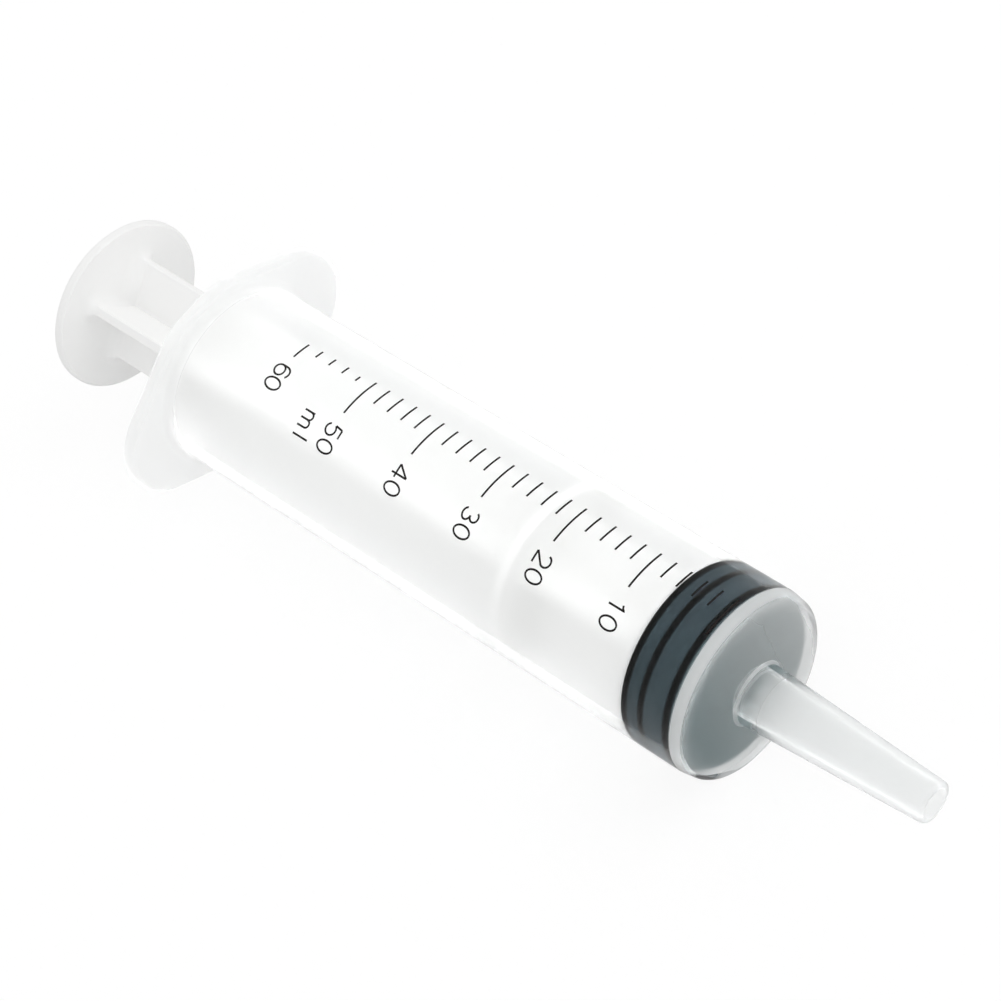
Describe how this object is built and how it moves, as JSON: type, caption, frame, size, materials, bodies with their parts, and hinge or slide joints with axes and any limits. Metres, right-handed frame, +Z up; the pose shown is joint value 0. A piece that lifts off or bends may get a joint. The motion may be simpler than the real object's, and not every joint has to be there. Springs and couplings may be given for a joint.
{
  "type": "disposable syringe",
  "caption": "Large disposable syringe lying with its plunger pressed in: clear barrel with finger wings and a long tapered nozzle, dark rubber stopper, white cross-ribbed plunger",
  "frame": {"origin": "Middle of the bounding box's footprint, on the ground that the syringe lies on.", "axes": "+X runs along the syringe towards the nozzle, Y along the finger wings, +Z up. The barrel's own axis dips 1.2 degrees towards the nozzle, because the syringe rests on the flange and on the front end of the barrel's straight side."},
  "size_m": [0.1762, 0.0504, 0.0363],
  "materials": {
    "clear_barrel": "milky clear moulded plastic, smooth and glossy",
    "dark_rubber": "smooth dark rubber",
    "white_plastic": "opaque white moulded plastic, satin"
  },
  "bodies": {
    "barrel": {"barrel": "clear_barrel"},
    "stopper": {"stopper": "dark_rubber"},
    "plunger_rod": {"plunger_rod": "white_plastic"}
  },
  "joints": [
    {"name": "plunger_slide", "type": "slide", "parent": "barrel", "child": "stopper", "axis": [-0.9998, 0, 0.0204], "range_m": [-0.001, 0.098]},
    {"name": "plunger_spin", "type": "hinge", "parent": "stopper", "child": "plunger_rod", "pos_m": [0.04639, 0, 0.01599], "axis": [0.9998, 0, -0.0204], "continuous": true}
  ]
}
